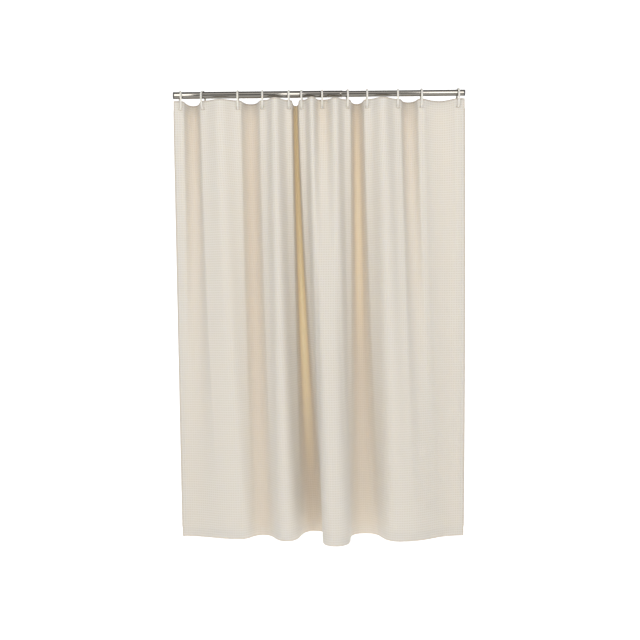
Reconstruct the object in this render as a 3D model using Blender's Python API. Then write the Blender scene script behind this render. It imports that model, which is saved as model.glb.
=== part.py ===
"""A gathered waffle-cloth shower curtain on a telescopic tension rod.

Metres, +Z up. The origin is the centre of the rod's left end face, +X runs along the rod to its right
end, and -Y is the side that faces the room. The cloth hangs from twelve oval rings that slide on the rod.
"""

import math

import bmesh
import bpy
import numpy as np
from mathutils import Vector

# Cloth, measured flat
CURTAIN_WIDTH = 1.829
CURTAIN_HEIGHT = 1.829
CLOTH_THICKNESS = 0.0014
HEM_THICKNESS = 0.0026
BOTTOM_HEM_DEPTH = 0.040
SIDE_HEM_WIDTH = 0.020
SIDE_INSET = 0.0274  # from a side edge to the first buttonhole

# How the cloth is gathered: each bay's ring gap as a share of the cloth in it, and which way it folds
BAY_GATHER = (0.589, 0.894, 0.628, 0.682, 0.330, 0.526, 0.649, 0.506, 0.798, 0.602, 0.940)
BAY_SIDE = (1, -1, 1, -1, 1, -1, -1, 1, -1, 1, 1)  # +1 folds to the back, -1 to the front
BAY_DROOP = (0.009, 0.0, 0.004, 0.0, 0.010, 0.0, 0.003, 0.006, 0.0, 0.003, 0.006)
DROOP_REACH = 0.22  # the height over which a bay's droop dies away
EYELET_FLAT = 0.0100  # the cloth stays flat this far each side of a buttonhole
EYELET_LEAN = math.radians(17)  # how far the cloth turns from the rod's direction at a buttonhole
PINCH = 0.4  # how far a tightly gathered fold bulges past its own neck
VALLEY_SPREAD = 0.7  # how quickly a back fold drops away from its rings, up to 1
FOLD_DRIFT = 1.5  # how late, going down, the folds move sideways to their places at the hem

# Where the folds stand at the hem: along the rod, as a share of the hung width, and out from it
HEM_FOLDS = (
    (0.003, 0.000), (0.214, -0.060), (0.286, 0.004), (0.374, -0.106), (0.467, 0.065),
    (0.541, -0.195), (0.645, 0.016), (0.762, -0.129), (0.990, -0.036),
)
HEM_PINCH = (0.1, 0.3, 0.3, 0.5, 1.75, 0.9, 0.5, 0.2)
# The top fold that each hem fold grows out of, in bays from the first ring
FOLD_ORIGIN = (1.5, 2.5, 3.5, 4.5, 6.0, 7.5, 8.5)

# Rod
INNER_TUBE_DIAMETER = 0.0254
TUBE_WALL = 0.0008
TUBE_CLEARANCE = 0.0008  # all round, between the inner tube and the outer one's bore
OUTER_TUBE_DIAMETER = INNER_TUBE_DIAMETER + 2 * (TUBE_CLEARANCE + TUBE_WALL)
OUTER_TUBE_LENGTH = 0.702
INNER_TUBE_START = 0.470
END_CAP_LENGTH = 0.005
SPIGOT_LENGTH = 0.014
EDGE_TO_WALL = 0.0015  # from the cloth's side edges to the rod's end faces
LIP_LENGTH = 0.003
SPRING_LENGTH = 0.062
SPRING_TURNS = 7
SPRING_WIRE = 0.0022
SPRING_DIAMETER = 0.0175
STEM_DIAMETER = 0.008
STEM_LENGTH = 0.095
COLLAR_LENGTH = 0.004
LOCK_LENGTH = 0.030

# Rings
RING_COUNT = 12
RING_HEIGHT = 0.0768
RING_BAND = 0.0040
RING_WIDTH = 0.0076
RING_TOP_RADIUS = 0.0210
RING_BOTTOM_RADIUS = 0.0160
RING_SEAT = 0.0008  # the gap between a ring and the top of the outer tube
RING_TURN = tuple(math.radians(angle) for angle in (14, -16, 0, 3, 0, -2, 0, 5, 0, -5, 0, 4))

# Buttonholes
BUTTONHOLE_WIDTH = 0.0120
BUTTONHOLE_HEIGHT = 0.0066
RIM_WIDTH = 0.0021
RIM_THICKNESS = 0.0030
RIM_CLEARANCE = 0.0006  # round a buttonhole's rim, and between its opening and the ring it hangs on
TOP_EDGE_DROP = 0.0098  # from the underside of the outer tube to the cloth's top edge
# From the cloth's top edge to the top of the opening: what the ring leaves below the rod
HEADER_MARGIN = (
    RING_HEIGHT - 2 * RING_BAND - RING_SEAT - OUTER_TUBE_DIAMETER - TOP_EDGE_DROP - RIM_CLEARANCE
)
HEADER_BELOW = 0.0044  # from the bottom of the opening to the header's seam
HEADER_DEPTH = HEADER_MARGIN + BUTTONHOLE_HEIGHT + HEADER_BELOW

GAP = 0.0003

# Resolution
TUBE_SIDES = 32
RING_ARC_STEPS = 9
BAY_STEPS = 5
PANEL_ROWS = 7
TABLE_STEPS = 48

PITCH = (CURTAIN_WIDTH - 2 * SIDE_INSET) / (RING_COUNT - 1)


def clear_scene():
    for obj in list(bpy.data.objects):
        bpy.data.objects.remove(obj)


def material(name, colour, roughness, metallic=0.0):
    made = bpy.data.materials.new(name)
    made.use_nodes = True
    shader = made.node_tree.nodes["Principled BSDF"]
    shader.inputs["Base Color"].default_value = (*colour, 1.0)
    shader.inputs["Roughness"].default_value = roughness
    shader.inputs["Metallic"].default_value = metallic
    return made


def add_object(name, bm, finish, parent=None, smooth=True):
    """An object from a bmesh whose coordinates are already local to its parent's origin."""
    mesh = bpy.data.meshes.new(name)
    bmesh.ops.recalc_face_normals(bm, faces=bm.faces)
    bm.to_mesh(mesh)
    bm.free()
    if smooth:
        mesh.shade_smooth()
        mesh.set_sharp_from_angle(angle=math.radians(35))
    mesh.materials.append(finish)
    obj = bpy.data.objects.new(name, mesh)
    bpy.context.scene.collection.objects.link(obj)
    obj.parent = parent
    return obj


def add_empty(name, location, parent=None):
    empty = bpy.data.objects.new(name, None)
    empty.location = location
    empty.parent = parent
    bpy.context.scene.collection.objects.link(empty)
    return empty


def turned(profile, sides=TUBE_SIDES):
    """A solid turned about the X axis from a closed outline of (x, radius) points."""
    bm = bmesh.new()
    loops = []
    for x, radius in profile:
        if radius == 0:
            loops.append([bm.verts.new((x, 0, 0))] * sides)
            continue
        angles = [2 * math.pi * k / sides for k in range(sides)]
        loops.append([bm.verts.new((x, radius * math.cos(a), radius * math.sin(a))) for a in angles])
    closed = profile[0][1] > 0
    for i in range(len(loops) if closed else len(loops) - 1):
        here, after = loops[i], loops[(i + 1) % len(loops)]
        for k in range(sides):
            corners = [here[k], here[(k + 1) % sides], after[(k + 1) % sides], after[k]]
            bm.faces.new(list(dict.fromkeys(corners)))
    return bm


# Rod ------------------------------------------------------------------------------------------------


def outer_tube_profile():
    radius = OUTER_TUBE_DIAMETER / 2
    bore = radius - TUBE_WALL
    lip = INNER_TUBE_DIAMETER / 2 + GAP
    start = END_CAP_LENGTH + GAP
    end = OUTER_TUBE_LENGTH
    return [
        (start, radius), (end - LIP_LENGTH, radius), (end - LIP_LENGTH / 3, radius - 0.0004),
        (end, radius - 0.0010), (end, lip), (end - LIP_LENGTH, lip), (end - LIP_LENGTH - 0.001, bore),
        (start, bore),
    ]


def inner_tube_profile(rod_length):
    radius = INNER_TUBE_DIAMETER / 2
    end = rod_length - END_CAP_LENGTH - GAP
    bore = radius - TUBE_WALL
    return [(INNER_TUBE_START, radius), (end, radius), (end, bore), (INNER_TUBE_START, bore)]


def end_cap_profile(tube_diameter, face_x, inward):
    """A flush rubber cap: a disc that meets the wall and a spigot inside the tube."""
    radius = tube_diameter / 2
    spigot = radius - TUBE_WALL - GAP
    step = face_x + inward * END_CAP_LENGTH
    tip = step + inward * SPIGOT_LENGTH
    return [
        (face_x, 0), (face_x, radius - 0.0008), (face_x + inward * 0.0008, radius), (step, radius),
        (step, spigot), (tip, spigot), (tip, 0),
    ]


def plunger_profile():
    """The plug in the inner tube's hidden end, with the stem that guides the spring."""
    collar = INNER_TUBE_DIAMETER / 2 - 0.0002
    spigot = INNER_TUBE_DIAMETER / 2 - TUBE_WALL - GAP
    seat = INNER_TUBE_START - GAP
    stem_end = seat - COLLAR_LENGTH - STEM_LENGTH
    stem = STEM_DIAMETER / 2
    return [
        (stem_end, 0), (stem_end, stem - 0.001), (stem_end + 0.001, stem), (seat - COLLAR_LENGTH, stem),
        (seat - COLLAR_LENGTH, collar), (seat, collar), (seat, spigot), (seat + SPIGOT_LENGTH, spigot),
        (seat + SPIGOT_LENGTH, 0),
    ]


def lock_profile():
    """The expanding plug that a twist locks in the outer tube: the spring pushes against it."""
    grip = OUTER_TUBE_DIAMETER / 2 - TUBE_WALL - GAP
    bore = STEM_DIAMETER / 2 + GAP
    end = INNER_TUBE_START - COLLAR_LENGTH - SPRING_LENGTH - 3 * GAP
    start = end - LOCK_LENGTH
    waist = grip - 0.0012
    third = LOCK_LENGTH / 3
    return [
        (start, grip), (start + third, grip), (start + third + 0.001, waist),
        (end - third - 0.001, waist), (end - third, grip), (end, grip), (end, bore), (start, bore),
    ]


def spring_mesh():
    """A round-wire coil between the lock plug and the plunger's collar."""
    bm = bmesh.new()
    wire = SPRING_WIRE / 2
    mean = SPRING_DIAMETER / 2
    start = INNER_TUBE_START - COLLAR_LENGTH - 2 * GAP - SPRING_LENGTH
    steps = SPRING_TURNS * 12
    sides = 6
    loops = []
    for i in range(steps + 1):
        turn = 2 * math.pi * SPRING_TURNS * i / steps
        x = start + wire + (SPRING_LENGTH - SPRING_WIRE) * i / steps
        loop = []
        for k in range(sides):
            angle = 2 * math.pi * k / sides
            radius = mean + wire * math.cos(angle)
            place = (x + wire * math.sin(angle), radius * math.cos(turn), radius * math.sin(turn))
            loop.append(bm.verts.new(place))
        loops.append(loop)
    for here, after in zip(loops, loops[1:]):
        for k in range(sides):
            bm.faces.new([here[k], here[(k + 1) % sides], after[(k + 1) % sides], after[k]])
    bm.faces.new(loops[0])
    bm.faces.new(loops[-1])
    return bm


# Rings ----------------------------------------------------------------------------------------------


def ring_levels():
    """The heights of the ring's inner top and inner bottom above the rod's axis."""
    top = OUTER_TUBE_DIAMETER / 2 + RING_SEAT
    return top, top + 2 * RING_BAND - RING_HEIGHT


def ring_mesh():
    """One closed band in the YZ plane: a wide arc over the rod and a narrower one through the cloth."""
    top, bottom = ring_levels()
    upper = RING_TOP_RADIUS + RING_BAND / 2
    lower = RING_BOTTOM_RADIUS + RING_BAND / 2
    upper_z = top + RING_BAND / 2 - upper
    lower_z = bottom - RING_BAND / 2 + lower
    tilt = math.asin((upper - lower) / (upper_z - lower_z))
    path = []
    for centre, radius, first, last in (
        (upper_z, upper, -tilt, math.pi + tilt),
        (lower_z, lower, math.pi + tilt, 2 * math.pi - tilt),
    ):
        for i in range(RING_ARC_STEPS + 1):
            angle = first + (last - first) * i / RING_ARC_STEPS
            out = Vector((0, math.cos(angle), math.sin(angle)))
            path.append((Vector((0, 0, centre)) + radius * out, out))
    half_band, half_width, chamfer = RING_BAND / 2, RING_WIDTH / 2, 0.0011
    section = [
        (half_width - chamfer, half_band), (half_width, half_band - chamfer),
        (half_width, chamfer - half_band), (half_width - chamfer, -half_band),
        (chamfer - half_width, -half_band), (-half_width, chamfer - half_band),
        (-half_width, half_band - chamfer), (chamfer - half_width, half_band),
    ]
    bm = bmesh.new()
    loops = [[bm.verts.new(p + Vector((x, 0, 0)) + r * out) for x, r in section] for p, out in path]
    for i, here in enumerate(loops):
        after = loops[(i + 1) % len(loops)]
        for k in range(len(section)):
            j = (k + 1) % len(section)
            bm.faces.new([here[k], here[j], after[j], after[k]])
    return bm


def buttonhole_mesh():
    """The stitched rim of a buttonhole: a flat band round the opening, in the local XZ plane."""
    _, bottom = ring_levels()
    centre_z = bottom + RIM_CLEARANCE - BUTTONHOLE_HEIGHT / 2
    half_w, half_h = BUTTONHOLE_WIDTH / 2, BUTTONHOLE_HEIGHT / 2
    bm = bmesh.new()
    loops = []
    for grow, y in ((0, -1), (RIM_WIDTH, -1), (RIM_WIDTH, 1), (0, 1)):
        radius = 0.0012 + grow * 0.6
        loop = []
        for corner, (sx, sz) in enumerate(((1, 1), (-1, 1), (-1, -1), (1, -1))):
            for step in range(3):
                angle = math.pi / 2 * (corner + step / 2)
                x = sx * (half_w + grow - radius) + radius * math.cos(angle)
                z = sz * (half_h + grow - radius) + radius * math.sin(angle)
                loop.append(bm.verts.new((x, y * RIM_THICKNESS / 2, centre_z + z)))
        loops.append(loop)
    for i, here in enumerate(loops):
        after = loops[(i + 1) % len(loops)]
        for k in range(len(here)):
            j = (k + 1) % len(here)
            bm.faces.new([here[k], here[j], after[j], after[k]])
    return bm


# Cloth ----------------------------------------------------------------------------------------------


def ring_places():
    """Each ring's X along the rod."""
    places = [EDGE_TO_WALL + SIDE_INSET]
    for share in BAY_GATHER:
        places.append(places[-1] + share * PITCH)
    return places


def eyelet_angles():
    """The direction of the cloth, seen from above, where each ring passes through it."""
    sides = (0, *BAY_SIDE, 0)
    return [EYELET_LEAN * (after - before) / 2 for before, after in zip(sides, sides[1:])]


def along(x, y):
    """The running length of a polyline."""
    return np.concatenate([[0.0], np.cumsum(np.hypot(np.diff(x), np.diff(y)))])


def bay_plan(start, end, start_angle, end_angle, side, depth):
    """The cloth between two flat stretches, seen from above: a smooth path plus a bulge to one side."""
    t = np.linspace(0, 1, TABLE_STEPS + 1)
    span = end[0] - start[0]
    pinch = PINCH * (1 - span / (PITCH - 2 * EYELET_FLAT))
    spread = VALLEY_SPREAD if side > 0 else 0.0
    bulge = pinch * np.sin(4 * np.pi * t) / (4 * np.pi) - spread * np.sin(2 * np.pi * t) / (2 * np.pi)
    x = start[0] + span * (t + bulge)
    slope = span * (1 + pinch - spread)
    y = (
        start[1] * (1 + 2 * t) * (1 - t) ** 2
        + end[1] * t**2 * (3 - 2 * t)
        + slope * math.tan(start_angle) * t * (1 - t) ** 2
        - slope * math.tan(end_angle) * t**2 * (1 - t)
    )
    return x, y + side * depth * np.sin(np.pi * t) ** 2


def solve(low, high, length_at, wanted):
    """The value between low and high at which a length that grows with it is the wanted one."""
    for _ in range(40):
        middle = (low + high) / 2
        if length_at(middle) < wanted:
            low = middle
        else:
            high = middle
    return (low + high) / 2


def top_plan():
    """The top edge seen from above, as tables of flat position, x and y."""
    places = ring_places()
    angles = eyelet_angles()
    cloth = PITCH - 2 * EYELET_FLAT
    u, x, y = [0.0], [places[0] - SIDE_INSET], [0.0]
    for i, (place, angle) in enumerate(zip(places, angles)):
        centre = SIDE_INSET + i * PITCH
        for sign in (-1, 1):
            u.append(centre + sign * EYELET_FLAT)
            x.append(place + sign * EYELET_FLAT * math.cos(angle))
            y.append(sign * EYELET_FLAT * math.sin(angle))
        if i == RING_COUNT - 1:
            break
        start = (x[-1], y[-1])
        after = angles[i + 1]
        end = (
            places[i + 1] - EYELET_FLAT * math.cos(after),
            -EYELET_FLAT * math.sin(after),
        )
        bay = (start, end, angle, after, BAY_SIDE[i])
        depth = solve(0.0, cloth, lambda d: along(*bay_plan(*bay, d))[-1], cloth)
        bay_x, bay_y = bay_plan(*bay, depth)
        length = along(bay_x, bay_y)
        u.extend(u[-1] + cloth * length[1:-1] / length[-1])
        x.extend(bay_x[1:-1])
        y.extend(bay_y[1:-1])
    u.append(CURTAIN_WIDTH)
    x.append(places[-1] + SIDE_INSET)
    y.append(0.0)
    return np.array(u), np.array(x), np.array(y)


def hem_plan():
    """The hem seen from above, as tables of flat position, x and y, and the flat position of each fold."""
    places = ring_places()
    left = places[0] - SIDE_INSET
    width = places[-1] + SIDE_INSET - left
    t = np.linspace(0, 1, TABLE_STEPS + 1)[:-1]
    x, y = [], []
    for (x0, y0), (x1, y1), pinch in zip(HEM_FOLDS, HEM_FOLDS[1:], HEM_PINCH):
        x.extend(left + width * (x0 + (x1 - x0) * (t + pinch * np.sin(2 * np.pi * t) / (2 * np.pi))))
        y.extend(y0 + (y1 - y0) * (1 - np.cos(np.pi * t)) / 2)
    x.append(left + width * HEM_FOLDS[-1][0])
    y.append(HEM_FOLDS[-1][1])
    length = along(x, y)
    u = length * CURTAIN_WIDTH / length[-1]
    return u, np.array(x), np.array(y), u[::TABLE_STEPS]


class Drape:
    """Where each point of the flat cloth hangs. u runs across the cloth and v down it."""

    def __init__(self):
        self.label, self.top_x, self.top_y = top_plan()
        u, x, y, folds = hem_plan()
        tops = [SIDE_INSET + bays * PITCH for bays in FOLD_ORIGIN]
        self.hem_u = np.interp(self.label, [0.0, *tops, CURTAIN_WIDTH], folds)
        self.hem_x = np.interp(self.hem_u, u, x)
        self.hem_y = np.interp(self.hem_u, u, y)
        _, bottom = ring_levels()
        self.top_z = bottom + RIM_CLEARANCE + HEADER_MARGIN
        bays = (self.label - SIDE_INSET) / PITCH
        index = np.clip(bays.astype(int), 0, RING_COUNT - 2)
        inside = (bays > 0) & (bays < RING_COUNT - 1)
        droop = np.array(BAY_DROOP)[index] * np.sin(np.pi * bays) ** 2
        self.droop = np.where(inside, droop, 0.0)
        self.lean = 0.0
        self.lean = self.imbalance()

    def imbalance(self):
        """How steeply the cloth leans back below its header to hang with its weight under the rod."""
        even = np.linspace(0.0, CURTAIN_WIDTH, 200)
        levels = (np.arange(12) + 0.5) * CURTAIN_HEIGHT / 12
        forward = np.mean([self.points(even, v)[:, 1] for v in levels])
        return forward / np.mean(np.maximum(levels - HEADER_DEPTH, 0.0))

    def row(self, v):
        """Tables of flat position, x, y and z along one level of the cloth."""
        below = max(0.0, v - HEADER_DEPTH)
        share = below / (CURTAIN_HEIGHT - HEADER_DEPTH)
        drift = share**FOLD_DRIFT
        relax = share * (1.6 - 0.6 * share)
        u = (1 - drift) * self.label + drift * self.hem_u
        x = (1 - drift) * self.top_x + drift * self.hem_x
        y = (1 - relax) * self.top_y + relax * self.hem_y
        if share > 0:
            depth = solve(0.6, 2.5, lambda d: along(x, d * y)[-1], CURTAIN_WIDTH)
            y = depth * y
        z = self.top_z - v - self.droop * math.exp(-v / DROOP_REACH)
        return u, x, y - self.lean * below, z

    def points(self, us, v):
        u, x, y, z = self.row(v)
        return np.stack([np.interp(us, u, values) for values in (x, y, z)], axis=1)


def ply_mesh(drape, us, vs, thickness, holes=()):
    """A closed sheet of cloth over the grid us by vs, without the cells named in holes."""
    middle = np.array([drape.points(np.array(us), v) for v in vs])
    across = np.gradient(middle, axis=1)
    down = np.gradient(middle, axis=0)
    normal = np.cross(across, down)
    normal /= np.linalg.norm(normal, axis=2, keepdims=True)
    sides = [middle + sign * thickness / 2 * normal for sign in (1, -1)]
    rows, columns = len(vs) - 1, len(us) - 1
    present = {(r, c) for r in range(rows) for c in range(columns)} - set(holes)
    bm = bmesh.new()
    verts = {}

    def vert(layer, r, c):
        if (layer, r, c) not in verts:
            verts[layer, r, c] = bm.verts.new(sides[layer][r, c])
        return verts[layer, r, c]

    for r, c in sorted(present):
        corners = ((r, c), (r, c + 1), (r + 1, c + 1), (r + 1, c))
        for layer in (0, 1):
            bm.faces.new([vert(layer, *corner) for corner in corners])
        beyond = ((r - 1, c), (r, c + 1), (r + 1, c), (r, c - 1))
        for k, cell in enumerate(beyond):
            if cell in present:
                continue
            a, b = corners[k], corners[(k + 1) % 4]
            bm.faces.new([vert(0, *a), vert(0, *b), vert(1, *b), vert(1, *a)])
    return bm


def column_lines():
    """The grid's flat positions across the cloth, closer together where the folds turn."""
    half_hole = BUTTONHOLE_WIDTH / 2 + RIM_WIDTH + RIM_CLEARANCE
    lines = [0.0]
    for i in range(RING_COUNT):
        centre = SIDE_INSET + i * PITCH
        lines += [centre - EYELET_FLAT, centre - half_hole, centre + half_hole, centre + EYELET_FLAT]
        if i < RING_COUNT - 1:
            start, span = centre + EYELET_FLAT, PITCH - 2 * EYELET_FLAT
            lines += [start + span * k / BAY_STEPS for k in range(1, BAY_STEPS)]
    return lines + [CURTAIN_WIDTH]


def add_cloth(drape, cream, parent):
    lines = column_lines()
    hole_top = HEADER_MARGIN - RIM_WIDTH - RIM_CLEARANCE
    hole_bottom = HEADER_MARGIN + BUTTONHOLE_HEIGHT + RIM_WIDTH + RIM_CLEARANCE
    per_ring = BAY_STEPS + 3
    holes = [(1, 2 + per_ring * i) for i in range(RING_COUNT)]
    header_rows = [0.0, hole_top, hole_bottom, HEADER_DEPTH]
    header = ply_mesh(drape, lines, header_rows, HEM_THICKNESS, holes)
    add_object("header_band", header, cream, parent)

    body_top = HEADER_DEPTH + GAP
    body_bottom = CURTAIN_HEIGHT - BOTTOM_HEM_DEPTH - GAP
    rows = [body_top + (body_bottom - body_top) * k / PANEL_ROWS for k in range(PANEL_ROWS + 1)]
    left, right = SIDE_HEM_WIDTH, CURTAIN_WIDTH - SIDE_HEM_WIDTH
    inner = [line for line in lines if left + 2 * GAP < line < right - 2 * GAP]
    panel_lines = [left + GAP, *inner, right - GAP]
    add_object("curtain_panel", ply_mesh(drape, panel_lines, rows, CLOTH_THICKNESS), cream, parent)
    for name, edges in (("left_side_hem", (0.0, left)), ("right_side_hem", (right, CURTAIN_WIDTH))):
        add_object(name, ply_mesh(drape, edges, rows, HEM_THICKNESS), cream, parent)
    hem_rows = [body_bottom + GAP, CURTAIN_HEIGHT]
    add_object("bottom_hem", ply_mesh(drape, lines, hem_rows, HEM_THICKNESS), cream, parent)


def main():
    clear_scene()
    steel = material("polished_steel", (0.78, 0.77, 0.75), 0.12, 1.0)
    rubber = material("end_cap_rubber", (0.09, 0.085, 0.08), 0.7)
    spring_steel = material("spring_steel", (0.45, 0.45, 0.46), 0.35, 1.0)
    nylon = material("white_nylon", (0.86, 0.85, 0.82), 0.4)
    ivory = material("ivory_plastic", (0.85, 0.81, 0.73), 0.35)
    cream = material("waffle_cloth", (0.82, 0.77, 0.69), 0.9)
    thread = material("cream_thread", (0.86, 0.82, 0.75), 0.85)

    places = ring_places()
    rod_length = places[-1] + SIDE_INSET + EDGE_TO_WALL

    rod = add_empty("rod_axis", (0, 0, 0))
    add_object("outer_tube", turned(outer_tube_profile()), steel, rod)
    left_cap = end_cap_profile(OUTER_TUBE_DIAMETER, 0.0, 1)
    add_object("left_end_cap", turned(left_cap), rubber, rod)
    lock = add_empty("lock_axis", (0, 0, 0), rod)
    add_object("twist_lock_plug", turned(lock_profile()), nylon, lock)
    add_object("tension_spring", spring_mesh(), spring_steel, lock)
    inner = add_empty("inner_axis", (0, 0, 0), lock)
    add_object("inner_tube", turned(inner_tube_profile(rod_length)), steel, inner)
    add_object("spring_plunger", turned(plunger_profile(), 24), nylon, inner)
    right_cap = end_cap_profile(INNER_TUBE_DIAMETER, rod_length, -1)
    add_object("right_end_cap", turned(right_cap), rubber, inner)

    curtain = add_empty("curtain_axis", (0, 0, 0), rod)
    add_cloth(Drape(), cream, curtain)
    for i, (place, angle, turn) in enumerate(zip(places, eyelet_angles(), RING_TURN), 1):
        carrier = add_empty(f"ring_axis_{i:02d}", (place, 0, 0), curtain)
        ring = add_object(f"ring_{i:02d}", ring_mesh(), ivory, carrier)
        ring.rotation_euler = (0, 0, turn)
        rim = add_object(f"buttonhole_{i:02d}", buttonhole_mesh(), thread, carrier)
        rim.rotation_euler = (0, 0, angle)


main()
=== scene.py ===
"""Looks of a gathered waffle-cloth shower curtain on a telescopic tension rod.

Metres, +Z up, +X along the rod, -Y towards the room. Ring and rod places come from the frame; the way the
cloth is gathered follows the same few fold values as the frame's solids.
"""

import math

import bmesh
import bpy
import numpy as np
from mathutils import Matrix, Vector


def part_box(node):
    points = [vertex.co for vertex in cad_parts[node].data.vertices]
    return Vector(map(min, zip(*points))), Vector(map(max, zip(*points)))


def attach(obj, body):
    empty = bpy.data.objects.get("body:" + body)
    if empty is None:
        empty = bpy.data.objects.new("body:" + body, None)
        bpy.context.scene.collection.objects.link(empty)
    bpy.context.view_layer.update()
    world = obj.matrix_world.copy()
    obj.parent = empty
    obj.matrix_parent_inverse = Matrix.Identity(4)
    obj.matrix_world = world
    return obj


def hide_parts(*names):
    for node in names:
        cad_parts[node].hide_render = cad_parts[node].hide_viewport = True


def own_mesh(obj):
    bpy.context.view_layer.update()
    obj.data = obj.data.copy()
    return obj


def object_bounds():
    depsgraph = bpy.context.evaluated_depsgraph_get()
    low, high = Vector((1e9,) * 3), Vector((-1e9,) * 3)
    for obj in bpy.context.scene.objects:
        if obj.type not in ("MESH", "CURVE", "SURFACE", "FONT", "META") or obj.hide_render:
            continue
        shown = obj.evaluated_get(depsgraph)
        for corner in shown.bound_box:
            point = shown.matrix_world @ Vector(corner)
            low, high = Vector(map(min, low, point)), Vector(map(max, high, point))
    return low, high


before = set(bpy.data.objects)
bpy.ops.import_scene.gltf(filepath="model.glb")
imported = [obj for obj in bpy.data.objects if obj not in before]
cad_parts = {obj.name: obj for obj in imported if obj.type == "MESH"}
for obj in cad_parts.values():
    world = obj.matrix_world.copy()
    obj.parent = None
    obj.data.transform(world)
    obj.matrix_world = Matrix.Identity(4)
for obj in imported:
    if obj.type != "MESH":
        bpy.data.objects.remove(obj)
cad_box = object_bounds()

# Cloth, measured flat
CURTAIN_WIDTH = 1.829
CURTAIN_HEIGHT = 1.829
HEADER_DEPTH = 0.040
BOTTOM_HEM_DEPTH = 0.040
SIDE_HEM_WIDTH = 0.020
SIDE_INSET = 0.0274
RING_COUNT = 12
PITCH = (CURTAIN_WIDTH - 2 * SIDE_INSET) / (RING_COUNT - 1)
RING_FLAT = [SIDE_INSET + i * PITCH for i in range(RING_COUNT)]

# How the cloth bows between the rings (1 is back, -1 to the room) and where its folds stand at the hem
BAY_SIDE = (1, -1, 1, -1, 1, -1, -1, 1, -1, 1, 1)
BAY_DROOP = (0.009, 0.0, 0.004, 0.0, 0.010, 0.0, 0.003, 0.006, 0.0, 0.003, 0.006)
DROOP_REACH = 0.22
EYELET_FLAT = 0.0100
EYELET_LEAN = math.radians(17)
PINCH = 0.4
VALLEY_SPREAD = 0.7
FOLD_DRIFT = 1.5
HEM_FOLDS = (
    (0.003, 0.000), (0.214, -0.060), (0.286, 0.004), (0.374, -0.106), (0.467, 0.065),
    (0.541, -0.195), (0.645, 0.016), (0.762, -0.129), (0.990, -0.036),
)
HEM_PINCH = (0.1, 0.3, 0.3, 0.5, 1.75, 0.9, 0.5, 0.2)
FOLD_ORIGIN = (1.5, 2.5, 3.5, 4.5, 6.0, 7.5, 8.5)
TABLE_STEPS = 48
FRONT_RELEASE = 0.6
DEPTH_RANGE = (0.6, 2.5)

# Rings and the buttonholes they hang through
RING_HEIGHT = 0.0768
RING_BAND = 0.0040
RING_WIDTH = 0.0076
RING_TOP_RADIUS = 0.0210
RING_BOTTOM_RADIUS = 0.0160
RING_TURN = tuple(math.radians(angle) for angle in (14, -16, 0, 3, 0, -2, 0, 5, 0, -5, 0, 4))
BUTTONHOLE_WIDTH = 0.0120
BUTTONHOLE_HEIGHT = 0.0066
RIM_WIDTH = 0.0021
RIM_HALF_WIDTH = BUTTONHOLE_WIDTH / 2 + RIM_WIDTH
HEADER_MARGIN = 0.0290
HOLE_V = HEADER_MARGIN + BUTTONHOLE_HEIGHT / 2
RIM_CLEARANCE = 0.0006
RING_SEAT = 0.0008
RING_STEPS = 120
RING_ARC_STEPS = (34, 22)
BAND_ROUNDING = 0.0011
CHANNEL = 0.0004
CHANNEL_HALF_WIDTHS = (0.0016, 0.0011)
CLASP_AT = 0.9
CLASP_REACH = 0.028
CLASP_SWELL = 0.10
SLIT_REACH = 0.0035
SLIT_NARROWING = 0.16
SLIT_THINNING = 0.10

# Rod and spring
TURNED_SIDES = 96
SHARP_ANGLE = math.radians(35)
TUBE_WALL = 0.0008
TUBE_CLEARANCE = 0.0008
LIP_LENGTH = 0.003
LIP_GAP = 0.0003
LIP_TAPER = 0.001
EDGE_BREAK = 0.0003
INNER_BREAK = 0.0004
MOUTH_EDGE = 0.0014
MOUTH_HOLLOW = 0.0010
GROOVE_DEPTH = 0.0004
GROOVE_BACK = (0.012, 0.0112, 0.0100, 0.0092)
END_CAP_LENGTH = 0.005
SPIGOT_LENGTH = 0.014
SPIGOT_BREAK = 0.0006
GRIP_DEPTH = 0.0006
GRIP_RINGS = (0.28, 0.50, 0.72)
GRIP_HALF_WIDTHS = (0.0009, 0.0006)
CAP_RIM = (0.86, 0.89)
CAP_ROUNDING = 0.0009
CAP_GROOVE = ((0.0028, 0), (0.0031, 0.0003), (0.0035, 0.0003), (0.0038, 0))
SPRING_TURNS = 7
SPRING_STEPS = 32
SPRING_WIRE = 0.0022
SPRING_CLOSING = 0.45
WIRE_SIDES = 12

# Weave and sewing
CELL = CURTAIN_WIDTH / 183
CLOTH_THICKNESS = 0.0010
WAFFLE_RELIEF = 0.0011
BACK_RELIEF = 0.6
PLY_THICKNESS = 0.0008
PLY_RELIEF = 0.0005
FOLD_RADIUS = 0.0012
SEAM_FROM_EDGE = 0.0025
SEAM_DIP = 0.0009
SEAM_REACH = 0.003
STITCH_LENGTH = 0.0031
STITCH_PITCH = 0.0042
THREAD_RADIUS = 0.00034
STITCH_RISE = 0.00045
STITCH_SIDES = 6
EDGE_RELIEF = 0.35
HOLE_REACH = 1.15
HOLE_HALF_ROW = 0.0060
FOLD_STEPS = 6
PLY_DIP = 0.4
FOLD_REACH = 0.13
FOLD_FULL = 0.085
FOLD_WALL = 0.016
RIM_THICKNESS = 0.0030
SATIN_RADIUS = 0.00027
SATIN_WEB = 0.0014
SATIN_COUNT = 78
SATIN_SIDES = 5
SATIN_SLANT = 0.0001
SATIN_SHORTER_SLANT = 0.7
RIM_STEPS = 48
RIM_CORNER = 0.0012
RIM_CORNER_GROWTH = 0.6
RIM_CORNER_STEPS = 12

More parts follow.
